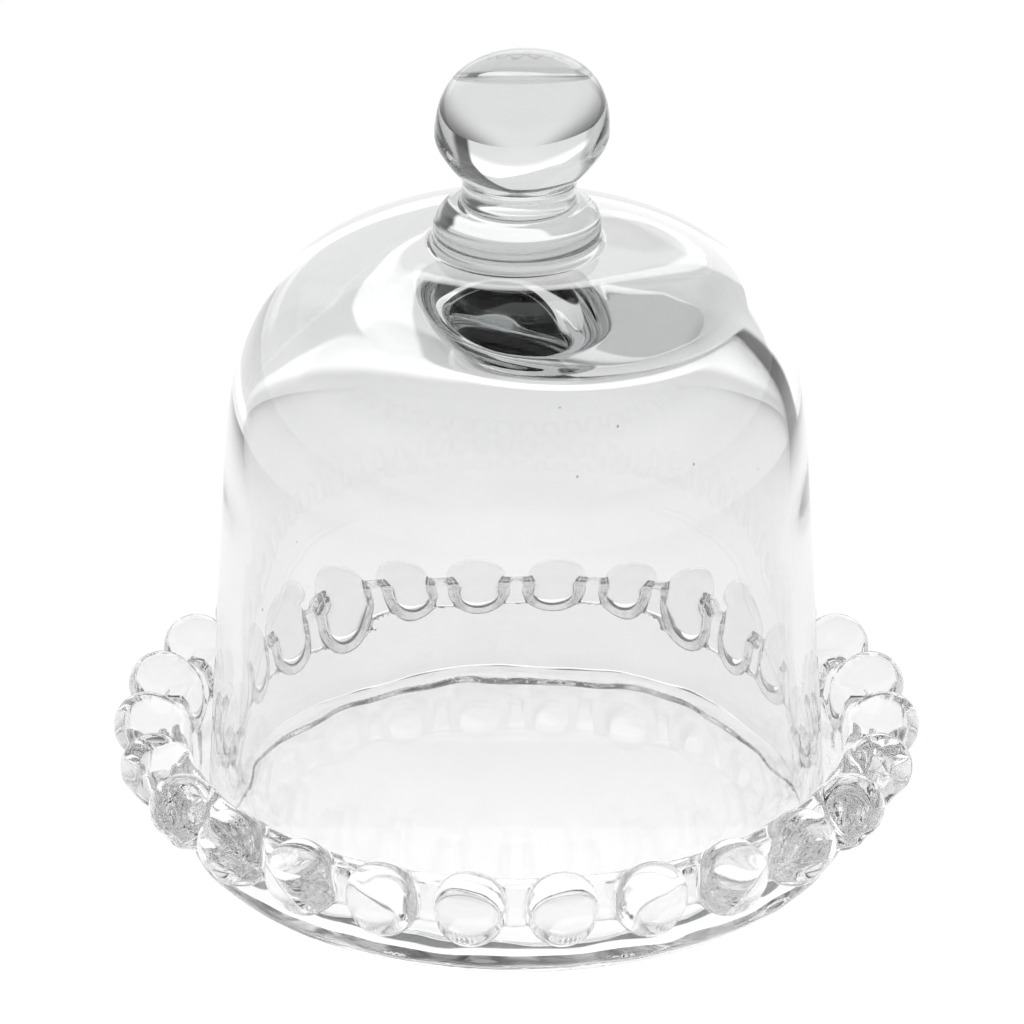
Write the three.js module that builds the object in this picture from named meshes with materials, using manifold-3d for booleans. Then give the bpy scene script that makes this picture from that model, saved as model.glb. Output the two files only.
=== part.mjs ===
// Glass cloche with a beaded plate.
// Millimetres, +Z up. The origin is the centre of the plate's foot, on the table.
import * as THREE from 'three';
import { mergeVertices } from 'three/addons/utils/BufferGeometryUtils.js';
import Module from 'manifold-3d';

// Dome
const DOME_RIM_RADIUS = 50; // outside, at the rim
const DOME_SHOULDER_RADIUS = 46.2; // outside, where the wall turns into the shoulder
const DOME_SHOULDER_HEIGHT = 61; // above the rim
const DOME_HEIGHT = 98.5; // rim to the level crown
const DOME_SHOULDER_REACH = 19.6; // pull of the shoulder curve along the wall
const DOME_CROWN_REACH = 28.7; // pull of the shoulder curve along the crown
const DOME_RIM_WALL = 4;
const DOME_RIM_ROUND = 1.4; // fire-polished edges of the rim

// Hollow of the dome, much thicker over its ceiling than at its wall
const HOLLOW_WALL_HEIGHT = 49.9; // rim to where the wall turns inwards
const HOLLOW_WALL = 4.3; // thickness at that height
const HOLLOW_WALL_REACH = 9; // pull of the hollow's shoulder along the wall
const HOLLOW_CONE_SLOPE = 20.8; // degrees, fall of the shoulder beside the ceiling
const HOLLOW_CONE_REACH = 20.7; // pull of the hollow's shoulder down that slope
const CEILING_RADIUS = 24; // level part of the ceiling
const CROWN_WALL = 12; // thickness over the ceiling

// Knob, with its neck and collar
const COLLAR_FOOT_RADIUS = 12.8;
const COLLAR_RADIUS = 13.2;
const COLLAR_WIDEST = 2.5; // above the crown
const COLLAR_HEIGHT = 6.7;
const NECK_RADIUS = 8.95;
const NECK_HEIGHT = 4.2; // collar to ball
const BALL_RADIUS = 13.6;
const BALL_LOWER_HEIGHT = 7.5; // neck to the widest place
const BALL_UPPER_HEIGHT = 12.2; // widest place to the top
const BALL_FULLNESS = 0.685; // 0.55 is an ellipse, more is squarer

// Plate
const DOME_CLEARANCE = 1.5; // between the dome's rim and the foot of the well's wall
const FLOOR_HEIGHT = 3; // well floor above the table
const WELL_DEPTH = 15; // floor to the top of the rim
const WELL_FLARE = 2; // lean of the well's wall, foot to rim
const WELL_FILLET = 1.5;
const PLATE_WALL = 3.2;
const BASE_ROUND = 3; // rounded edge of the base
const FOOT_WIDTH = 11.7; // ring that the plate stands on
const BASE_RECESS = 0.6; // hollow inside that ring
const RIM_ROUND = 1; // inner edge of the rim
const LIP_DEPTH = 7.5; // rounded lip that joins the beads
const LIP_PROUD = 1.3; // past the wall

// Beads on the rim
const BEAD_COUNT = 26;
const BEAD_RADIUS = 5.5;
const BEAD_SINK = 2.7; // how far each bead reaches into the wall
const BEAD_DROP = 2; // bead centres below the top of the rim

// Fineness of the round surfaces
const PLATE_SEGMENTS = 3 * BEAD_COUNT;
const DOME_SEGMENTS = 60;
const KNOB_SEGMENTS = 40;
const BEAD_SEGMENTS = 12;
const BEAD_RINGS = 8;
const CURVE_STEPS = 8;
const ROUND_STEPS = 3;
const WELD_DISTANCE = 1e-4;

const wasm = await Module();
wasm.setup();

// Closed mesh with shared vertices, without the flattened triangles at a pole
function weld(geometry) {
  geometry.deleteAttribute('normal');
  geometry.deleteAttribute('uv');
  const welded = mergeVertices(geometry, WELD_DISTANCE);
  const corners = welded.index.array;
  const kept = [];
  for (let i = 0; i < corners.length; i += 3) {
    const [a, b, c] = corners.slice(i, i + 3);
    if (a !== b && b !== c && c !== a) kept.push(a, b, c);
  }
  welded.setIndex(kept);
  return welded;
}

// Solid of revolution about +Z, from a profile of radius and height
function revolve(profile, segments) {
  const geometry = new THREE.LatheGeometry(profile, segments);
  geometry.rotateX(Math.PI / 2);
  return weld(geometry);
}

function toSolid(geometry) {
  const vertProperties = Float32Array.from(geometry.attributes.position.array);
  const triVerts = Uint32Array.from(geometry.index.array);
  return new wasm.Manifold(new wasm.Mesh({ numProp: 3, vertProperties, triVerts }));
}

function toGeometry(solid) {
  const { vertProperties, triVerts } = solid.getMesh();
  const geometry = new THREE.BufferGeometry();
  geometry.setAttribute('position', new THREE.BufferAttribute(vertProperties, 3));
  geometry.setIndex(Array.from(triVerts));
  geometry.computeVertexNormals();
  return geometry;
}

// Clear pressed or blown glass, with the cool tinge of its thick places
function glass(color, roughness) {
  return new THREE.MeshStandardMaterial({ color, roughness, metalness: 0, transparent: true, opacity: 0.3 });
}

function piece(name, geometry, material) {
  const mesh = new THREE.Mesh(geometry, material);
  mesh.name = name;
  return mesh;
}

// Points along a profile's straight and curved stretches, without repeats
function profilePoints(stretches) {
  const points = [];
  for (const [curve, steps] of stretches) {
    for (const point of curve.getPoints(steps)) {
      const last = points.at(-1);
      if (!last || last.distanceTo(point) > WELD_DISTANCE) points.push(point);
    }
  }
  return points;
}

const at = (radius, height) => new THREE.Vector2(radius, height);
const line = (from, to) => [new THREE.LineCurve(from, to), 1];
const cubic = (from, pullFrom, pullTo, to) => [new THREE.CubicBezierCurve(from, pullFrom, pullTo, to), CURVE_STEPS];
const corner = (from, tip, to) => [new THREE.QuadraticBezierCurve(from, tip, to), ROUND_STEPS];

// Places that pieces share
const rimHeight = FLOOR_HEIGHT + WELL_DEPTH;
const crownHeight = FLOOR_HEIGHT + DOME_HEIGHT;
const wellRadius = DOME_RIM_RADIUS + DOME_CLEARANCE;

// Plate without its beads: foot ring, rounded base, flaring wall, lip and well
function plateBody() {
  const lean = WELL_FLARE / WELL_DEPTH;
  const inner = (height) => wellRadius + lean * (height - FLOOR_HEIGHT);
  const outer = (height) => inner(height) + PLATE_WALL;
  const footRadius = outer(0) - BASE_ROUND;
  const recessRadius = footRadius - FOOT_WIDTH;
  const lipBottom = rimHeight - LIP_DEPTH;
  const lipEdge = outer(rimHeight) + LIP_PROUD;
  const lipMiddle = rimHeight - LIP_DEPTH / 2;
  const filletTop = FLOOR_HEIGHT + WELL_FILLET;
  const edgeTop = rimHeight - RIM_ROUND;

  const foot = at(footRadius, 0);
  const wallFoot = at(outer(BASE_ROUND), BASE_ROUND);
  const wallTop = at(outer(lipBottom), lipBottom);
  const lipTop = at(outer(rimHeight), rimHeight);
  return revolve(
    profilePoints([
      line(at(0, BASE_RECESS), at(recessRadius - BASE_RECESS, BASE_RECESS)),
      line(at(recessRadius - BASE_RECESS, BASE_RECESS), at(recessRadius, 0)),
      line(at(recessRadius, 0), foot),
      corner(foot, at(outer(0), 0), wallFoot),
      line(wallFoot, wallTop),
      corner(wallTop, at(lipEdge, lipBottom), at(lipEdge, lipMiddle)),
      corner(at(lipEdge, lipMiddle), at(lipEdge, rimHeight), lipTop),
      line(lipTop, at(inner(rimHeight) + RIM_ROUND, rimHeight)),
      corner(at(inner(rimHeight) + RIM_ROUND, rimHeight), at(inner(rimHeight), rimHeight), at(inner(edgeTop), edgeTop)),
      line(at(inner(edgeTop), edgeTop), at(inner(filletTop), filletTop)),
      corner(at(inner(filletTop), filletTop), at(wellRadius, FLOOR_HEIGHT), at(wellRadius - WELL_FILLET, FLOOR_HEIGHT)),
      line(at(wellRadius - WELL_FILLET, FLOOR_HEIGHT), at(0, FLOOR_HEIGHT)),
    ]),
    PLATE_SEGMENTS,
  );
}

// Plate with its ring of beads, a space between two of them at the front
function makePlate() {
  const ringRadius = wellRadius + WELL_FLARE + PLATE_WALL + BEAD_RADIUS - BEAD_SINK;
  const ringHeight = rimHeight - BEAD_DROP;
  const pitch = (2 * Math.PI) / BEAD_COUNT;
  let solid = toSolid(plateBody());
  for (let i = 0; i < BEAD_COUNT; i += 1) {
    const turn = (i + 0.5) * pitch;
    const bead = new THREE.SphereGeometry(BEAD_RADIUS, BEAD_SEGMENTS, BEAD_RINGS);
    bead.rotateX(Math.PI / 2);
    bead.translate(0, -ringRadius, ringHeight);
    bead.rotateZ(turn);
    solid = solid.add(toSolid(weld(bead)));
  }
  return toGeometry(solid);
}

// Hollow bell that stands on the well floor, with a level seat for the knob
function makeDome() {
  const rim = FLOOR_HEIGHT;
  const shoulder = rim + DOME_SHOULDER_HEIGHT;
  const outerLean = (DOME_SHOULDER_RADIUS - DOME_RIM_RADIUS) / DOME_SHOULDER_HEIGHT;
  const outerFoot = at(DOME_RIM_RADIUS + outerLean * DOME_RIM_ROUND, rim + DOME_RIM_ROUND);
  const outerShoulder = at(DOME_SHOULDER_RADIUS, shoulder);
  const outerPull = at(DOME_SHOULDER_RADIUS + outerLean * DOME_SHOULDER_REACH, shoulder + DOME_SHOULDER_REACH);
  const crownPull = at(COLLAR_FOOT_RADIUS + DOME_CROWN_REACH, crownHeight);
  const seat = at(COLLAR_FOOT_RADIUS, crownHeight);

  const rimInner = DOME_RIM_RADIUS - DOME_RIM_WALL;
  const wallTop = rim + HOLLOW_WALL_HEIGHT;
  const wallInner = DOME_RIM_RADIUS + outerLean * HOLLOW_WALL_HEIGHT - HOLLOW_WALL;
  const innerLean = (wallInner - rimInner) / HOLLOW_WALL_HEIGHT;
  const ceiling = crownHeight - CROWN_WALL;
  const slope = THREE.MathUtils.degToRad(HOLLOW_CONE_SLOPE);
  const innerFoot = at(rimInner + innerLean * DOME_RIM_ROUND, rim + DOME_RIM_ROUND);
  const innerShoulder = at(wallInner, wallTop);
  const innerPull = at(wallInner + innerLean * HOLLOW_WALL_REACH, wallTop + HOLLOW_WALL_REACH);
  const ceilingEdge = at(CEILING_RADIUS, ceiling);
  const conePull = at(
    CEILING_RADIUS + HOLLOW_CONE_REACH * Math.cos(slope),
    ceiling - HOLLOW_CONE_REACH * Math.sin(slope),
  );
  return revolve(
    profilePoints([
      line(at(0, ceiling), ceilingEdge),
      cubic(ceilingEdge, conePull, innerPull, innerShoulder),
      line(innerShoulder, innerFoot),
      corner(innerFoot, at(rimInner, rim), at(rimInner + DOME_RIM_ROUND, rim)),
      line(at(rimInner + DOME_RIM_ROUND, rim), at(DOME_RIM_RADIUS - DOME_RIM_ROUND, rim)),
      corner(at(DOME_RIM_RADIUS - DOME_RIM_ROUND, rim), at(DOME_RIM_RADIUS, rim), outerFoot),
      line(outerFoot, outerShoulder),
      cubic(outerShoulder, outerPull, crownPull, seat),
      line(seat, at(0, crownHeight)),
    ]),
    DOME_SEGMENTS,
  );
}

// Solid knob: collar on the crown, short neck, and a ball flattened on top
function makeKnob() {
  const widest = crownHeight + COLLAR_WIDEST;
  const collarTop = crownHeight + COLLAR_HEIGHT;
  const neckTop = collarTop + NECK_HEIGHT;
  const equator = neckTop + BALL_LOWER_HEIGHT;
  const top = equator + BALL_UPPER_HEIGHT;
  const flank = BALL_RADIUS - NECK_RADIUS;

  const collarEdge = at(COLLAR_RADIUS, widest);
  const neckFoot = at(NECK_RADIUS, collarTop);
  const ballFoot = at(NECK_RADIUS, neckTop);
  const ballEdge = at(BALL_RADIUS, equator);
  const flankPull = at(NECK_RADIUS + flank / 3, neckTop + BALL_LOWER_HEIGHT / 4);
  const edgePull = at(BALL_RADIUS, equator - BALL_LOWER_HEIGHT / 3);
  const sidePull = at(BALL_RADIUS, equator + BALL_FULLNESS * BALL_UPPER_HEIGHT);
  const topPull = at(BALL_FULLNESS * BALL_RADIUS, top);
  return revolve(
    profilePoints([
      line(at(0, crownHeight), at(COLLAR_FOOT_RADIUS, crownHeight)),
      corner(at(COLLAR_FOOT_RADIUS, crownHeight), at(COLLAR_RADIUS, crownHeight), collarEdge),
      corner(collarEdge, at(COLLAR_RADIUS, collarTop), neckFoot),
      line(neckFoot, ballFoot),
      cubic(ballFoot, flankPull, edgePull, ballEdge),
      cubic(ballEdge, sidePull, topPull, at(0, top)),
    ]),
    KNOB_SEGMENTS,
  );
}

const cloche = new THREE.Group();
cloche.add(piece('dome', makeDome(), glass(0xf3f6f6, 0.05)));
cloche.add(piece('knob', makeKnob(), glass(0xf1f4f4, 0.04)));

const object = new THREE.Group();
object.add(piece('plate', makePlate(), glass(0xeff4f4, 0.06)));
object.add(cloche);

export default object;
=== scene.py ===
"""Glass cloche with a beaded plate: its glass, a pale floor, studio light and the camera."""
import math

import bpy
import numpy as np
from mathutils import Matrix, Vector


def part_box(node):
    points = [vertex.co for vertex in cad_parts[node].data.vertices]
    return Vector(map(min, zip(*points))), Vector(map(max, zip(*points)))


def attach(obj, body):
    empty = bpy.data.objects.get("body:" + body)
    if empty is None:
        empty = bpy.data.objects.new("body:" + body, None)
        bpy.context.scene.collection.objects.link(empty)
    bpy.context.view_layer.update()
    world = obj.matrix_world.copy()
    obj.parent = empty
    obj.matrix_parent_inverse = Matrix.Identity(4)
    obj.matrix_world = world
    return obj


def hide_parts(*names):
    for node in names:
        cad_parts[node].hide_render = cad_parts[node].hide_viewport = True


MM = 0.001
TINY = 1e-6

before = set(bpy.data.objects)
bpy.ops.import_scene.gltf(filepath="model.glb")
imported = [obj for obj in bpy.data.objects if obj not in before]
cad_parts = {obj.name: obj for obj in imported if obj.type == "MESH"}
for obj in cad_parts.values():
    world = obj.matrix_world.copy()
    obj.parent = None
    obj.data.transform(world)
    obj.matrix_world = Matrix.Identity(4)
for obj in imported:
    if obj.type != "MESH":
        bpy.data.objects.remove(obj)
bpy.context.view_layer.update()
dome_low, dome_high = (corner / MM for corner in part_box("dome"))
_, knob_high = (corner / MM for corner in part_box("knob"))
_, plate_high = (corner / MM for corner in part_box("plate"))

# Places taken from the frame, in millimetres
FLOOR_HEIGHT = dome_low.z  # floor of the well, on which the dome stands
CROWN_HEIGHT = dome_high.z
TOP_HEIGHT = knob_high.z
BALL_RADIUS = knob_high.x
BEAD_REACH = plate_high.x
BEAD_TOP = plate_high.z

# Outside of the dome, in millimetres
RIM_RADIUS = 50.0
RIM_ROUND = 1.9
RIM_WALL = 4.0
SHOULDER_RADIUS = 46.2
SHOULDER_HEIGHT = 64.0
SHOULDER_REACH = 19.6  # pull of the straight wall into the shoulder
CROWN_REACH = 28.7  # pull of the crown into the shoulder
CROWN_FALL = 1.4  # fall of the crown over that reach

# Hollow of the dome, in millimetres and degrees
HOLLOW_SHOULDER_RADIUS = 42.6
HOLLOW_SHOULDER_HEIGHT = 52.9
HOLLOW_WALL_REACH = 9.0  # pull of the straight wall into the shoulder
HOLLOW_CONE_RADIUS = 25.8
HOLLOW_CONE_DEPTH = 12.7  # foot of the cone under the crown
HOLLOW_CONE_SLOPE = 18.6
HOLLOW_CONE_REACH = 18.8  # pull of the cone into the shoulder
CROWN_WALL = 11.8  # glass over the middle of the ceiling
CEILING_FALL = 3.8  # down to the right
CEILING_BLEND = 2.0

# Collar, neck and knob, in millimetres and degrees
COLLAR_FOOT = 12.8
COLLAR_RADIUS = 13.2
COLLAR_WIDEST = 2.5  # height of its widest place
COLLAR_HEIGHT = 6.7
COLLAR_FALL = 0.1  # fall of its top beside the neck
COLLAR_FILLET = 1.6
COLLAR_UNDERCUT = 0.2
NECK_RADIUS = 8.95
NECK_HEIGHT = 4.2
NECK_FILLET = 0.7
BALL_UPPER_HEIGHT = 12.2
BALL_FULLNESS = 0.685  # pull of the upper ball's curve, as a share of its radius and height
BALL_LOWER_FULLNESS = 1 / 3  # pull of the lower ball's curve, as a share of its height
BALL_TUCK = 1 / 3  # pull beside the neck, as a share of the flank
BALL_TUCK_RISE = 1 / 4  # its height, as a share of the lower ball's
BALL_FOOT_OUT = 0.4
BALL_FOOT_UP = 0.5
KNOB_LEAN = 2.6  # to the right

# Bubbles in the dome's wall: degrees right of the front and height in millimetres
BUBBLES = (
    (23.6, 85.5),
    (12.8, 80.0),
    (39.6, 78.3),
    (118.0, 57.0),
    (171.0, 71.0),
    (236.0, 38.0),
    (301.0, 49.0),
)
BUBBLE_RADIUS = 0.17
BUBBLE_STRETCH = 1.4
BUBBLE_RINGS = 9
BUBBLE_SEGMENTS = 12

# Body of the plate, in millimetres
WELL_RADIUS = 51.5
WELL_DEPTH = 15.0
WELL_FLARE = 2.0  # how much wider the well is at its rim
WELL_FILLET = 1.5
PLATE_WALL = 3.2
BASE_ROUND = 3.0
RIM_EDGE = 1.0
LIP_DEPTH = 7.5
LIP_PROUD = 1.3

# Recess under the plate, in millimetres, which runs out towards the front
RECESS_RADIUS = 45.6
RECESS_DEPTH = 1.5
RECESS_MIDDLE = 0.25  # share of the depth under the plate's middle
RECESS_GAIN = 1.6  # gain of that share over one radius towards the back

# Beads and their lobes towards the well, in millimetres
BEAD_COUNT = 26
BEAD_RADIUS = 5.5
BEAD_RING = BEAD_REACH - BEAD_RADIUS
BEAD_LEVEL = BEAD_TOP - BEAD_RADIUS
BEAD_JITTER = 0.12
BEAD_SEED = 26
BEAD_BLEND = 0.7  # width of the passage from a bead into the body
CUT_BLEND = 0.7  # width of the rounded edges at the well and the recess
LOBE_RUN = 1.8
LOBE_DROP = 2.0
LOBE_GROWTH = 0.2

# Waves in the glass: height and length in millimetres, and the seed of their draw
OUTSIDE_WAVES = (0.03, 26, 8)
HOLLOW_WAVES = (0.05, 22, 5)
DOME_RIM_WAVES = (0.5, 11, 3)
RECESS_WAVES = (0.9, 12, 7)
PLATE_WALL_WAVES = (0.4, 10, 11)
PLATE_WALL_SQUEEZE = 2  # how much shorter these are upwards
WAVE_COUNT = 24
WAVE_SPREAD = (0.7, 1.6)  # shortest and longest wave, as shares of the length
WAVE_PEAK = 7  # about what the waves add up to where they are strong
WAVES_OVER_CROWN = 2.0  # height over the crown at which the dome's waves start
WAVES_GROW = 6.0  # height over which they grow

# Fineness of the meshes, in millimetres, counts and cells
CLOCHE_SEGMENTS = 240
OUTSIDE_SPACING = 1.0
HOLLOW_SPACING = 0.6
SHOULDER_STEPS = 80
PLATE_STEP = 0.45  # side of a grid cell
CELLS_BESIDE = 1.5  # empty cells round the plate
CELLS_UNDER = 1.3
CELLS_OVER = 2
TABLE_STEP = 0.1  # spacing in the table of distances
TABLE_BESIDE = 3.0  # margins of that table
TABLE_UNDER = 1.5
TABLE_OVER = 2.5
PULL_ROUNDS = 4  # rounds that bring the mesh onto the surface
LEAST_STEEPNESS = 0.05

# Glass
GLASS_INDEX = 1.51
GLASS_DEPTH_COLOUR = (0.48, 0.5, 0.5, 1)
CLOCHE_TINT = 0.96
CLOCHE_DENSITY = 16.0
CLOCHE_ROUGHNESS = 0.0
PLATE_TINT = 0.94
PLATE_DENSITY = 0.5
PLATE_ROUGHNESS = 0.03
CLOUD_SCALE = 60.0
CLOUD_DETAIL = 2
CLOUD_RANGE = (0.3, 0.7)
TINT_SPREAD = 0.008
POLISH_SPREAD = 0.5
RIPPLE_SCALE = 75.0
RIPPLE_DETAIL = 1
RIPPLE_HEIGHT = 0.02  # millimetres

# Floor, in metres, and its glow, which is painted light: a pool of light painted into the floor's emission
FLOOR_HALF = 1.0
FLOOR_GAP = 0.0002
PAINTED_LIGHT_STRIP_HALF = 0.1  # half the width of the painted strip of light from front to back
PAINTED_LIGHT_STRIP_FADE = 0.2
PAINTED_LIGHT_STRIP_SHORTENING = 0.1  # how much a way along the painted strip of light counts
PAINTED_LIGHT_TURN = (-0.035, 0.035)  # where the front's painted light turns into the back's
# Painted light: the floor glows brighter at the front than at the back, and falls to the least glow away
# from the strip
FRONT_PAINTED_LIGHT = 1.25
BACK_PAINTED_LIGHT = 1.01
LEAST_PAINTED_LIGHT = 0.12

# Studio light: edges in degrees, right of the back or up from level, and strengths
PANEL_LEFT = (-46, -36)
PANEL_RIGHT = 28.5
PANEL_RIGHT_BEND = 0.018  # how the right edge moves in with the square of the height
PANEL_RIGHT_SOFTNESS = 1.5
PANEL_RIGHT_REST = 0.12  # share of the light that is left beyond the right edge
PANEL_TOP = (12, 14)
PANEL_TOP_LEAN = 0.5  # rise of the top edge for each degree to the right
PANEL_TOP_SPAN = (-15, 12)  # where the top edge leans
PANEL_FOOT = (-1, 3)
PANEL_FOOT_LIGHT = 1.02
PANEL_LIGHT = 1.6
WALL_LIGHT = 0.98
WALL_TOP = (33, 36)
SIDE_START = (38, 46)
SIDE_TOP = (12, 30)
SIDE_LIGHT = 0.8
ROOM_LIGHT = 0.006
LIGHT_BOUNCES = 96
DIFFUSE_BOUNCES = 6

# Camera of the photograph, in millimetres from the centre of the bead ring, and degrees
CAMERA_AHEAD = 998.4
CAMERA_ABOVE = 530.2
CAMERA_ASIDE = -0.7
CAMERA_PITCH = 26.23
CAMERA_LENS = 246.2
CAMERA_SENSOR = 36


# Outlines in a half plane of radius and height

def line(start, end):
    return np.array([start, end], float)


def cubic(start, pull_start, pull_end, end, steps=40):
    t = np.linspace(0, 1, steps + 1)[:, None]
    points = [np.array(p, float) for p in (start, pull_start, pull_end, end)]
    weights = ((1 - t) ** 3, 3 * (1 - t) ** 2 * t, 3 * (1 - t) * t ** 2, t ** 3)
    return sum(weight * point for weight, point in zip(weights, points))


def rounded(start, tip, end, steps=12):
    """A curve that leaves start towards tip and arrives at end from tip."""
    start, tip, end = (np.array(p, float) for p in (start, tip, end))
    pull = 0.55
    return cubic(start, start + pull * (tip - start), end + pull * (tip - end), end, steps)


def join(*stretches):
    points = np.vstack(stretches)
    apart = np.linalg.norm(np.diff(points, axis=0), axis=1) > TINY
    return points[np.append(True, apart)]


def even(outline, spacing):
    """The same outline with points at most a spacing apart."""
    pieces = []
    for start, end in zip(outline[:-1], outline[1:]):
        count = max(1, math.ceil(np.linalg.norm(end - start) / spacing))
        pieces.append(start + (end - start) * np.arange(count)[:, None] / count)
    return np.vstack(pieces + [outline[-1:]])


def radius_at(height, outline):
    """Radius of an outline that only rises."""
    return np.interp(height, outline[:, 1], outline[:, 0])


def blend(first, second, width):
    """The lower of two values, with a smooth passage between them."""
    mix = np.clip(0.5 + 0.5 * (first - second) / width, 0, 1)
    return first + (second - first) * mix - width * mix * (1 - mix)


# Slow waves in the glass, left by the mould and the fire

class Waves:
    """A smooth seeded function of place, zero on average and about as strong as its height."""

    def __init__(self, height, length, seed):
        self.height = height
        rng = np.random.default_rng(seed)
        way = rng.normal(size=(WAVE_COUNT, 3))
        way /= np.linalg.norm(way, axis=1)[:, None]
        self.way = way * 2 * math.pi / (length * rng.uniform(*WAVE_SPREAD, (WAVE_COUNT, 1)))
        self.phase = rng.uniform(0, 2 * math.pi, WAVE_COUNT)

    def __call__(self, x, y, z):
        total = 0
        for (a, b, c), phase in zip(self.way, self.phase):
            total = total + np.sin(a * x + b * y + c * z + phase)
        return self.height * total / WAVE_PEAK


# Meshes

def make_object(name, points, faces, normals=None):
    mesh = bpy.data.meshes.new(name)
    mesh.from_pydata((points * MM).tolist(), [], faces)
    mesh.polygons.foreach_set("use_smooth", np.ones(len(mesh.polygons), bool))
    if normals is not None:
        mesh.normals_split_custom_set_from_vertices(normals.tolist())
    obj = bpy.data.objects.new(name, mesh)
    bpy.context.scene.collection.objects.link(obj)
    return obj


def revolve(outline, segments):
    """Rings of points about Z and the faces between them; the outline starts and ends on the axis."""
    turn = np.arange(segments) * 2 * math.pi / segments
    radius, height = outline[1:-1, 0, None], outline[1:-1, 1, None]
    rings = np.stack([radius * np.cos(turn), radius * np.sin(turn), height + 0 * turn], -1)
    count = len(rings)
    points = np.vstack([rings.reshape(-1, 3), [[0, 0, outline[0, 1]], [0, 0, outline[-1, 1]]]])
    j = np.arange(segments)
    k = (j + 1) % segments
    i = np.arange(count - 1)[:, None] * segments
    quads = np.stack([i + j, i + segments + j, i + segments + k, i + k], -1).reshape(-1, 4)
    last = (count - 1) * segments
    start_fan = np.stack([np.full_like(j, count * segments), j, k], -1)
    end_fan = np.stack([np.full_like(j, count * segments + 1), last + k, last + j], -1)
    return points, quads.tolist() + start_fan.tolist() + end_fan.tolist()


# Cloche: dome, collar, neck and knob are one body of glass

def knob_outline():
    collar_widest = CROWN_HEIGHT + COLLAR_WIDEST
    collar_top = CROWN_HEIGHT + COLLAR_HEIGHT
    neck_top = collar_top + NECK_HEIGHT
    equator = TOP_HEIGHT - BALL_UPPER_HEIGHT
    lower_height = equator - neck_top
    flank = BALL_RADIUS - NECK_RADIUS
    ball_foot = (NECK_RADIUS + BALL_FOOT_OUT, neck_top + BALL_FOOT_UP)
    neck_start = (NECK_RADIUS, neck_top - NECK_FILLET)
    neck_end = (NECK_RADIUS, collar_top + NECK_FILLET)
    collar_start = (NECK_RADIUS + NECK_FILLET, collar_top - COLLAR_FALL)
    collar_side = (COLLAR_RADIUS, collar_widest)
    return join(
        cubic(
            (0, TOP_HEIGHT),
            (BALL_FULLNESS * BALL_RADIUS, TOP_HEIGHT),
            (BALL_RADIUS, equator + BALL_FULLNESS * BALL_UPPER_HEIGHT),
            (BALL_RADIUS, equator),
        ),
        cubic(
            (BALL_RADIUS, equator),
            (BALL_RADIUS, equator - BALL_LOWER_FULLNESS * lower_height),
            (NECK_RADIUS + BALL_TUCK * flank, neck_top + BALL_TUCK_RISE * lower_height),
            ball_foot,
        ),
        rounded(ball_foot, (NECK_RADIUS, neck_top), neck_start),
        line(neck_start, neck_end),
        rounded(neck_end, (NECK_RADIUS, collar_top), collar_start),
        rounded(collar_start, (COLLAR_RADIUS, collar_top - 2 * COLLAR_FALL), collar_side),
        rounded(
            collar_side,
            (COLLAR_FOOT - COLLAR_UNDERCUT, CROWN_HEIGHT),
            (COLLAR_FOOT + COLLAR_FILLET, CROWN_HEIGHT),
        ),
    )


def dome_outline():
    lean = (SHOULDER_RADIUS - RIM_RADIUS) / (SHOULDER_HEIGHT - FLOOR_HEIGHT)
    foot = (RIM_RADIUS + lean * RIM_ROUND, FLOOR_HEIGHT + RIM_ROUND)
    return join(
        cubic(
            (COLLAR_FOOT + COLLAR_FILLET, CROWN_HEIGHT),
            (COLLAR_FOOT + CROWN_REACH, CROWN_HEIGHT - CROWN_FALL),
            (SHOULDER_RADIUS + lean * SHOULDER_REACH, SHOULDER_HEIGHT + SHOULDER_REACH),
            (SHOULDER_RADIUS, SHOULDER_HEIGHT),
            SHOULDER_STEPS,
        ),
        line((SHOULDER_RADIUS, SHOULDER_HEIGHT), foot),
        rounded(foot, (RIM_RADIUS, FLOOR_HEIGHT), (RIM_RADIUS - RIM_ROUND, FLOOR_HEIGHT)),
    )


def hollow_outline():
    """The wall, the shoulder and a cone up to the axis, from which the ceiling is cut."""
    rim_inner = RIM_RADIUS - RIM_WALL
    lean = (HOLLOW_SHOULDER_RADIUS - rim_inner) / (HOLLOW_SHOULDER_HEIGHT - FLOOR_HEIGHT)
    cone_foot = CROWN_HEIGHT - HOLLOW_CONE_DEPTH
    slope = math.tan(math.radians(HOLLOW_CONE_SLOPE))
    reach = HOLLOW_CONE_REACH * math.cos(math.radians(HOLLOW_CONE_SLOPE))
    foot = (rim_inner + lean * RIM_ROUND, FLOOR_HEIGHT + RIM_ROUND)
    shoulder = (HOLLOW_SHOULDER_RADIUS, HOLLOW_SHOULDER_HEIGHT)
    return join(
        rounded((rim_inner + RIM_ROUND, FLOOR_HEIGHT), (rim_inner, FLOOR_HEIGHT), foot),
        line(foot, shoulder),
        cubic(
            shoulder,
            (shoulder[0] + lean * HOLLOW_WALL_REACH, shoulder[1] + HOLLOW_WALL_REACH),
            (HOLLOW_CONE_RADIUS + reach, cone_foot - slope * reach),
            (HOLLOW_CONE_RADIUS, cone_foot),
            SHOULDER_STEPS,
        ),
        line((HOLLOW_CONE_RADIUS, cone_foot), (0, cone_foot + slope * HOLLOW_CONE_RADIUS)),
    )


def cut_ceiling(points, hollow):
    """Lowers the hollow's top to a ceiling that falls to the right."""
    x, _, z = points.T
    ceiling = CROWN_HEIGHT - CROWN_WALL - math.tan(math.radians(CEILING_FALL)) * x
    points[:, 2] = np.where(hollow, blend(z, ceiling, CEILING_BLEND), z)


def lean_knob(points):
    points[:, 0] += math.tan(math.radians(KNOB_LEAN)) * np.clip(points[:, 2] - CROWN_HEIGHT, 0, None)


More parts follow.
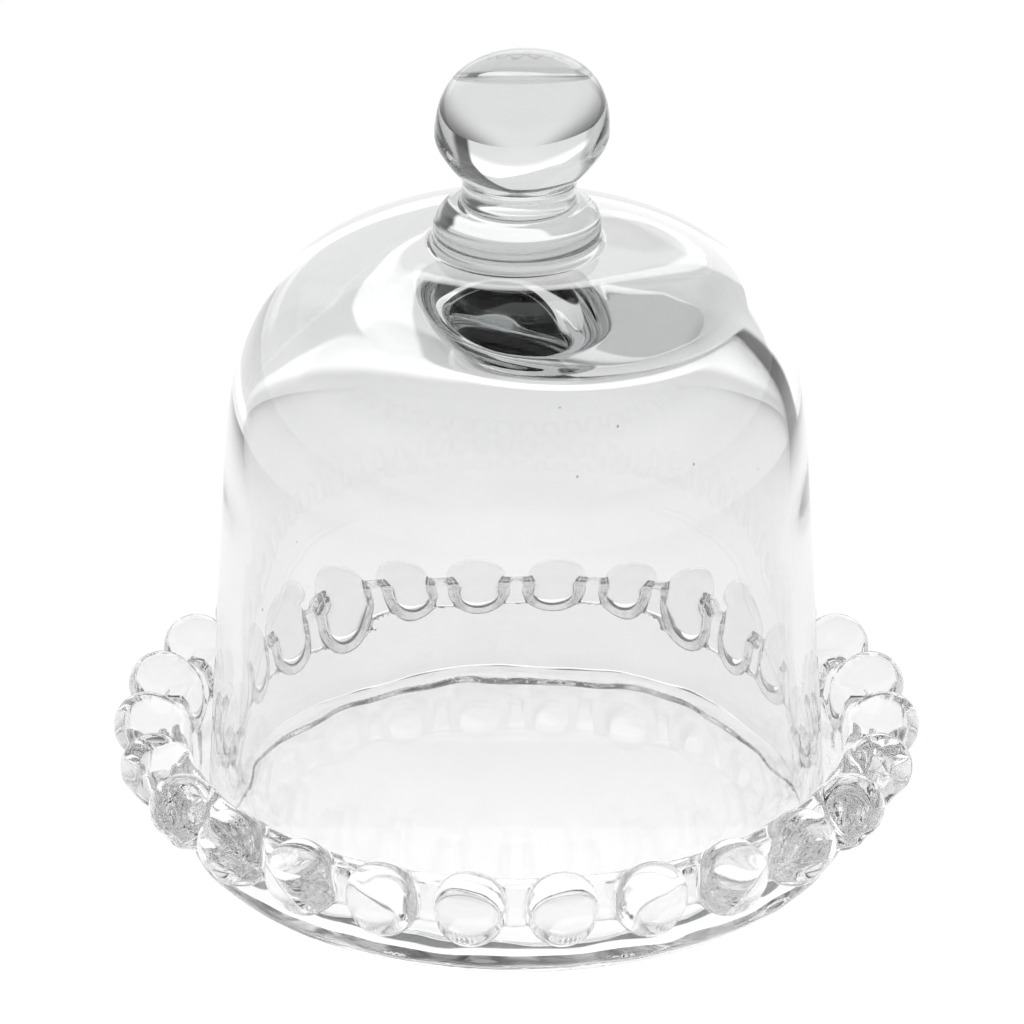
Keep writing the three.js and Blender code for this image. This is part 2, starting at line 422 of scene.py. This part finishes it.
def wave_walls(points, hollow):
    """Moves both sides of the dome's wall in and out."""
    out = points * [1, 1, 0]
    out /= np.linalg.norm(out, axis=1)[:, None].clip(TINY)
    share = np.clip((CROWN_HEIGHT + WAVES_OVER_CROWN - points[:, 2]) / WAVES_GROW, 0, 1)
    waves = np.where(hollow, Waves(*HOLLOW_WAVES)(*points.T), Waves(*OUTSIDE_WAVES)(*points.T))
    points += out * (waves * share)[:, None]


def wave_rim(points, hollow):
    """Lifts the inner edge of the dome's rim unevenly."""
    x, y, z = points.T
    share = np.clip((FLOOR_HEIGHT + 2 * RIM_ROUND - z) / (2 * RIM_ROUND), 0, 1) * hollow
    waves = Waves(*DOME_RIM_WAVES)
    points[:, 2] += share * (waves.height + waves(x, y, 0)).clip(0)


def make_bubble(angle, height):
    """A small ball turned inside out in the middle of the wall."""
    reach = (radius_at(height, dome_outline()[::-1]) + radius_at(height, hollow_outline())) / 2
    rise = np.linspace(-math.pi / 2, math.pi / 2, BUBBLE_RINGS)
    ball = BUBBLE_RADIUS * np.stack([np.cos(rise), BUBBLE_STRETCH * np.sin(rise)], -1)
    points, faces = revolve(ball, BUBBLE_SEGMENTS)
    return points + [reach * math.sin(angle), -reach * math.cos(angle), height], faces


def make_cloche():
    outside = even(join(knob_outline(), dome_outline()), OUTSIDE_SPACING)
    inside = even(hollow_outline(), HOLLOW_SPACING)
    points, faces = revolve(np.vstack([outside, inside]), CLOCHE_SEGMENTS)
    knob_tip = len(points) - 2
    hollow = np.arange(len(points)) >= (len(outside) - 1) * CLOCHE_SEGMENTS
    hollow[knob_tip] = False
    cut_ceiling(points, hollow)
    lean_knob(points)
    wave_walls(points, hollow)
    wave_rim(points, hollow)
    for angle, height in BUBBLES:
        bubble_points, bubble_faces = make_bubble(math.radians(angle), height)
        faces += [[corner + len(points) for corner in face] for face in bubble_faces]
        points = np.vstack([points, bubble_points])
    return make_object("cloche", points, faces)


# Plate: a revolved body with beads blended into its rim

def well_radius(height):
    return WELL_RADIUS + WELL_FLARE / WELL_DEPTH * (height - FLOOR_HEIGHT)


def outer_radius(height):
    return well_radius(height) + PLATE_WALL


def plate_outline():
    rim = FLOOR_HEIGHT + WELL_DEPTH
    lip_bottom = rim - LIP_DEPTH
    lip_middle = rim - LIP_DEPTH / 2
    lip_edge = outer_radius(rim) + LIP_PROUD
    base_edge = (outer_radius(0) - BASE_ROUND, 0)
    base_side = (outer_radius(BASE_ROUND), BASE_ROUND)
    lip_start = (outer_radius(lip_bottom), lip_bottom)
    lip_side = (lip_edge, lip_middle)
    lip_top = (outer_radius(rim), rim)
    rim_start = (well_radius(rim) + RIM_EDGE, rim)
    rim_end = (well_radius(rim - RIM_EDGE), rim - RIM_EDGE)
    fillet_start = (well_radius(FLOOR_HEIGHT + WELL_FILLET), FLOOR_HEIGHT + WELL_FILLET)
    fillet_end = (WELL_RADIUS - WELL_FILLET, FLOOR_HEIGHT)
    return join(
        line((0, 0), base_edge),
        rounded(base_edge, (outer_radius(0), 0), base_side),
        line(base_side, lip_start),
        rounded(lip_start, (lip_edge, lip_bottom), lip_side),
        rounded(lip_side, (lip_edge, rim), lip_top),
        line(lip_top, rim_start),
        rounded(rim_start, (well_radius(rim), rim), rim_end),
        line(rim_end, fillet_start),
        rounded(fillet_start, (WELL_RADIUS, FLOOR_HEIGHT), fillet_end),
        line(fillet_end, (0, FLOOR_HEIGHT)),
    )


def outline_distance(outline, radius, height):
    """Signed distance of points in the half plane to an outline, negative inside."""
    nearest = np.full(radius.shape, np.inf)
    inside = np.zeros(radius.shape, bool)
    for (r0, h0), (r1, h1) in zip(outline[:-1], outline[1:]):
        run, rise = r1 - r0, h1 - h0
        along = ((radius - r0) * run + (height - h0) * rise) / (run * run + rise * rise)
        along = np.clip(along, 0, 1)
        nearest = np.minimum(nearest, np.hypot(radius - r0 - along * run, height - h0 - along * rise))
        if rise:
            crosses = (h0 > height) != (h1 > height)
            inside ^= crosses & (radius < r0 + run * (height - h0) / rise)
    return np.where(inside, -nearest, nearest)


class PlateField:
    """Distance to the plate's surface: the revolved body, joined smoothly to the beads."""

    def __init__(self):
        radius = np.arange(0, BEAD_REACH + TABLE_BESIDE, TABLE_STEP)
        height = np.arange(-TABLE_UNDER, BEAD_TOP + TABLE_OVER, TABLE_STEP)
        grid = np.meshgrid(radius, height, indexing="ij")
        self.table = outline_distance(plate_outline(), *grid)
        rng = np.random.default_rng(BEAD_SEED)
        self.shift = rng.uniform(-BEAD_JITTER, BEAD_JITTER, BEAD_COUNT)
        self.shrink = rng.uniform(0, BEAD_JITTER, BEAD_COUNT)
        self.recess_waves = Waves(*RECESS_WAVES)
        self.wall_waves = Waves(*PLATE_WALL_WAVES)

    def body(self, radius, height):
        """The revolved body, read between the places of the table."""
        u, v = radius / TABLE_STEP, (height + TABLE_UNDER) / TABLE_STEP
        i = np.clip(u.astype(int), 0, self.table.shape[0] - 2)
        j = np.clip(v.astype(int), 0, self.table.shape[1] - 2)
        u, v = u - i, v - j
        low = self.table[i, j] * (1 - v) + self.table[i, j + 1] * v
        high = self.table[i + 1, j] * (1 - v) + self.table[i + 1, j + 1] * v
        return low * (1 - u) + high * u

    def wavy_body(self, x, y, z, radius):
        """The revolved body with waves in its outer wall."""
        outside = np.clip((radius - WELL_RADIUS - PLATE_WALL / 2) / PLATE_WALL, 0, 1)
        return self.body(radius + outside * self.wall_waves(x, y, PLATE_WALL_SQUEEZE * z), z)

    def recess(self, x, y, z, radius):
        """The hollow under the plate, with a wavy edge, deepest at the back."""
        edge = RECESS_RADIUS + self.recess_waves(x, y, 0)
        depth = RECESS_DEPTH * np.clip(RECESS_MIDDLE + RECESS_GAIN * y / RECESS_RADIUS, 0, 1)
        return np.maximum(radius - edge, z - depth)

    def bead(self, x, y, z, radius):
        """The nearest bead, with a lobe that runs inwards and down from its centre."""
        pitch = 2 * math.pi / BEAD_COUNT
        turn = np.arctan2(x, -y) / pitch
        number = np.floor(turn).astype(int) % BEAD_COUNT
        off = (turn - np.floor(turn) - 0.5) * pitch
        ahead, aside = radius * np.cos(off), radius * np.sin(off)
        along = (BEAD_RING - ahead) * LOBE_RUN + (BEAD_LEVEL - z) * LOBE_DROP
        along = np.clip(along / (LOBE_RUN ** 2 + LOBE_DROP ** 2), 0, 1)
        away = np.sqrt(
            (ahead - BEAD_RING + along * LOBE_RUN) ** 2
            + (aside - self.shift[number]) ** 2
            + (z - BEAD_LEVEL + along * LOBE_DROP) ** 2
        )
        return away - BEAD_RADIUS + self.shrink[number] - along * LOBE_GROWTH

    def __call__(self, x, y, z):
        radius = np.hypot(x, y)
        well = well_radius(z) - radius
        lobe = -blend(-self.bead(x, y, z, radius), -well, CUT_BLEND)
        body = -blend(-self.wavy_body(x, y, z, radius), self.recess(x, y, z, radius), CUT_BLEND)
        return blend(body, lobe, BEAD_BLEND)

    def slope(self, points, reach=0.05):
        """Direction in which the distance grows."""
        parts = []
        for axis in range(3):
            shift = np.zeros(3)
            shift[axis] = reach
            parts.append((self(*(points + shift).T) - self(*(points - shift).T)) / (2 * reach))
        return np.stack(parts, -1)


def neighbour(cells, axes, steps):
    """The cells that lie so many steps back along two axes."""
    moved = cells.copy()
    for axis, step in zip(axes, steps):
        moved[:, axis] -= step
    return tuple(moved.T)


def surface_net(values, low, step):
    """One point in each grid cell that the zero surface passes through, and the faces that join them."""
    inside = values < 0
    shape = tuple(n - 1 for n in values.shape)
    total = np.zeros(shape + (3,), np.float32)
    hits = np.zeros(shape, np.float32)
    crossings = []
    for axis in range(3):
        others = [a for a in range(3) if a != axis]
        first = [slice(None)] * 3
        second = [slice(None)] * 3
        first[axis], second[axis] = slice(None, -1), slice(1, None)
        first, second = tuple(first), tuple(second)
        changed = inside[first] != inside[second]
        start, end = values[first][changed], values[second][changed]
        cells = np.argwhere(changed)
        spot = cells.astype(np.float32)
        spot[:, axis] += start / (start - end)
        crossings.append((axis, others, cells, start < 0))
        for steps in ((0, 0), (0, 1), (1, 0), (1, 1)):
            index = neighbour(cells, others, steps)
            np.add.at(total, index, spot)
            np.add.at(hits, index, 1)
    used = tuple(np.argwhere(hits > 0).T)
    number = np.full(shape, -1, int)
    number[used] = np.arange(len(used[0]))
    points = total[used] / hits[used][:, None] * step + low
    faces = []
    for axis, others, cells, starts_inside in crossings:
        round_trip = ((0, 0), (1, 0), (1, 1), (0, 1))
        quad = np.stack([number[neighbour(cells, others, steps)] for steps in round_trip], -1)
        turned = starts_inside ^ (axis == 1)
        quad[~turned] = quad[~turned][:, ::-1]
        faces.append(quad)
    return points.astype(float), np.vstack(faces)


def make_plate():
    field = PlateField()
    reach = BEAD_REACH + CELLS_BESIDE * PLATE_STEP
    low = np.array([-reach, -reach, -CELLS_UNDER * PLATE_STEP])
    axes = [np.arange(low[0], reach + PLATE_STEP, PLATE_STEP)] * 2
    axes.append(np.arange(low[2], BEAD_TOP + CELLS_OVER * PLATE_STEP, PLATE_STEP))
    grid = np.meshgrid(*axes, indexing="ij")
    points, faces = surface_net(field(*grid), low, PLATE_STEP)
    for _ in range(PULL_ROUNDS):
        slope = field.slope(points)
        steepness = (slope ** 2).sum(1).clip(LEAST_STEEPNESS)
        points -= slope * (field(*points.T) / steepness)[:, None]
    normals = field.slope(points)
    normals /= np.linalg.norm(normals, axis=1)[:, None]
    return make_object("beaded_plate", points, faces.tolist(), normals)


# Materials

class Nodes:
    """Short ways to add shader nodes to one tree."""

    def __init__(self, tree):
        self.tree = tree

    def add(self, kind, **settings):
        node = self.tree.nodes.new("ShaderNode" + kind)
        for name, value in settings.items():
            setattr(node, name, value)
        return node

    def feed(self, socket, value):
        if isinstance(value, bpy.types.NodeSocket):
            self.tree.links.new(value, socket)
        else:
            socket.default_value = value

    def math(self, operation, *values):
        node = self.add("Math", operation=operation)
        for socket, value in zip(node.inputs, values):
            self.feed(socket, value)
        return node.outputs[0]

    def product(self, first, *others):
        for other in others:
            first = self.math("MULTIPLY", first, other)
        return first

    def clamp(self, value, low, high):
        return self.math("MINIMUM", self.math("MAXIMUM", value, low), high)

    def ramp(self, value, start, end, low, high):
        """Goes smoothly from low at the start to high at the end."""
        node = self.add("MapRange", interpolation_type="SMOOTHSTEP")
        for socket, item in zip(node.inputs, (value, start, end, low, high)):
            self.feed(socket, item)
        return node.outputs[0]

    def noise(self, scale, detail):
        """Soft noise that keeps its place on the piece."""
        node = self.add("TexNoise")
        self.feed(node.inputs["Vector"], self.add("TexCoord").outputs["Object"])
        self.feed(node.inputs["Scale"], scale)
        self.feed(node.inputs["Detail"], detail)
        return node.outputs[0]

    def split(self, vector):
        node = self.add("SeparateXYZ")
        self.feed(node.inputs[0], vector)
        return node.outputs


def glass_material(name, tint, density, roughness):
    """Clear glass with slow ripples in its skin, a little cloud in its tint and an uneven polish."""
    material = bpy.data.materials.new(name)
    material.use_nodes = True
    nodes = Nodes(material.node_tree)
    shader = material.node_tree.nodes["Principled BSDF"]
    shader.inputs["Transmission Weight"].default_value = 1
    shader.inputs["IOR"].default_value = GLASS_INDEX
    clouds = nodes.noise(CLOUD_SCALE, CLOUD_DETAIL)
    ripples = nodes.noise(RIPPLE_SCALE, RIPPLE_DETAIL)
    shade = nodes.ramp(clouds, *CLOUD_RANGE, tint - TINT_SPREAD, tint + TINT_SPREAD)
    colour = nodes.add("CombineColor")
    for socket in colour.inputs:
        nodes.feed(socket, shade)
    nodes.feed(shader.inputs["Base Color"], colour.outputs[0])
    smoothest, roughest = (1 - POLISH_SPREAD) * roughness, (1 + POLISH_SPREAD) * roughness
    nodes.feed(shader.inputs["Roughness"], nodes.ramp(clouds, *CLOUD_RANGE, smoothest, roughest))
    skin = nodes.add("Bump")
    skin.inputs["Strength"].default_value = 1
    skin.inputs["Distance"].default_value = RIPPLE_HEIGHT * MM
    nodes.feed(skin.inputs["Height"], ripples)
    nodes.feed(shader.inputs["Normal"], skin.outputs[0])
    depth = nodes.add("VolumeAbsorption")
    depth.inputs["Color"].default_value = GLASS_DEPTH_COLOUR
    depth.inputs["Density"].default_value = density
    nodes.feed(material.node_tree.nodes["Material Output"].inputs["Volume"], depth.outputs[0])
    return material


def painted_light_floor_material():
    """A pale sheet that glows with painted light: a pool of light painted into its emission, brightest in a
    strip from front to back and brighter at the front; it takes no shadows.
    """
    material = bpy.data.materials.new("pale_floor")
    material.use_nodes = True
    nodes = Nodes(material.node_tree)
    shader = material.node_tree.nodes["Principled BSDF"]
    shader.inputs["Base Color"].default_value = (0, 0, 0, 1)
    shader.inputs["Specular IOR Level"].default_value = 0
    shader.inputs["Emission Color"].default_value = (1, 1, 1, 1)
    # Painted light: the glow falls off away from a strip from front to back and is brighter at the front, a
    # pool of light drawn into the emission
    x, y, _ = nodes.split(nodes.add("NewGeometry").outputs["Position"])
    along = nodes.product(y, PAINTED_LIGHT_STRIP_SHORTENING)
    away = nodes.math("SQRT", nodes.math("ADD", nodes.product(x, x), nodes.product(along, along)))
    beyond = nodes.math("MAXIMUM", nodes.math("SUBTRACT", away, PAINTED_LIGHT_STRIP_HALF), 0)
    fade = nodes.math("DIVIDE", beyond, PAINTED_LIGHT_STRIP_FADE)
    strip = nodes.math("DIVIDE", 1 - LEAST_PAINTED_LIGHT, nodes.math("ADD", 1, nodes.product(fade, fade)))
    front = nodes.ramp(y, *PAINTED_LIGHT_TURN, FRONT_PAINTED_LIGHT, BACK_PAINTED_LIGHT)
    glow = nodes.product(front, nodes.math("ADD", LEAST_PAINTED_LIGHT, strip))
    nodes.feed(shader.inputs["Emission Strength"], glow)
    return material


# Set, light and camera

def make_floor():
    mesh = bpy.data.meshes.new("floor")
    corners = [(-1, -1), (1, -1), (1, 1), (-1, 1)]
    mesh.from_pydata([(x * FLOOR_HALF, y * FLOOR_HALF, 0) for x, y in corners], [], [(0, 1, 2, 3)])
    floor = bpy.data.objects.new("floor", mesh)
    floor.location.z = -FLOOR_GAP
    bpy.context.scene.collection.objects.link(floor)
    floor.data.materials.append(painted_light_floor_material())


def make_world():
    """A dark room with a bright low panel at the back, a paler wall over it and low light round the rest."""
    world = bpy.data.worlds.new("studio")
    bpy.context.scene.world = world
    world.use_nodes = True
    nodes = Nodes(world.node_tree)
    x, y, z = nodes.split(nodes.add("TexCoord").outputs["Generated"])
    aside = nodes.product(nodes.math("ARCTAN2", x, y), math.degrees(1))
    height = nodes.product(nodes.math("ARCSINE", z), math.degrees(1))

    raised = nodes.math("MAXIMUM", height, 0)
    right_edge = nodes.math("SUBTRACT", PANEL_RIGHT, nodes.product(raised, raised, PANEL_RIGHT_BEND))
    past_right = nodes.math("SUBTRACT", aside, right_edge)
    left = nodes.ramp(aside, *PANEL_LEFT, 0, 1)
    right = nodes.ramp(past_right, -PANEL_RIGHT_SOFTNESS, PANEL_RIGHT_SOFTNESS, 1, PANEL_RIGHT_REST)
    wall_end = nodes.ramp(aside, *SIDE_START, 1, 0)

    lean = nodes.product(nodes.clamp(aside, *PANEL_TOP_SPAN), PANEL_TOP_LEAN)
    over_lean = nodes.math("SUBTRACT", height, lean)
    foot = nodes.ramp(height, *PANEL_FOOT, PANEL_FOOT_LIGHT, PANEL_LIGHT)
    panel = nodes.ramp(over_lean, *PANEL_TOP, foot, WALL_LIGHT)
    back = nodes.product(left, right, wall_end, panel, nodes.ramp(height, *WALL_TOP, 1, 0))

    round_rest = nodes.ramp(nodes.math("ABSOLUTE", aside), *SIDE_START, 0, 1)
    sides = nodes.product(round_rest, nodes.ramp(height, *SIDE_TOP, SIDE_LIGHT, 0))
    light = nodes.math("ADD", nodes.math("ADD", back, sides), ROOM_LIGHT)
    background = world.node_tree.nodes["Background"]
    background.inputs["Color"].default_value = (1, 1, 1, 1)
    nodes.feed(background.inputs["Strength"], light)


def make_camera():
    data = bpy.data.cameras.new("camera")
    data.lens = CAMERA_LENS
    data.sensor_width = CAMERA_SENSOR
    camera = bpy.data.objects.new("camera", data)
    camera.location = Vector((CAMERA_ASIDE, -CAMERA_AHEAD, CAMERA_ABOVE + BEAD_LEVEL)) * MM
    camera.rotation_euler = (math.radians(90 - CAMERA_PITCH), 0, 0)
    bpy.context.scene.collection.objects.link(camera)
    bpy.context.scene.camera = camera


def set_look():
    scene = bpy.context.scene
    scene.view_settings.view_transform = "Standard"
    scene.cycles.use_denoising = True
    scene.cycles.max_bounces = LIGHT_BOUNCES
    scene.cycles.transmission_bounces = LIGHT_BOUNCES
    scene.cycles.glossy_bounces = LIGHT_BOUNCES
    scene.cycles.diffuse_bounces = DIFFUSE_BOUNCES


cloche = make_cloche()
cloche.data.materials.append(glass_material("cloche_glass", CLOCHE_TINT, CLOCHE_DENSITY, CLOCHE_ROUGHNESS))
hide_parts("dome", "knob")
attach(cloche, "cloche")

plate = make_plate()
plate.data.materials.append(glass_material("plate_glass", PLATE_TINT, PLATE_DENSITY, PLATE_ROUGHNESS))
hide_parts("plate")
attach(plate, "plate")

make_floor()
make_world()
make_camera()
set_look()
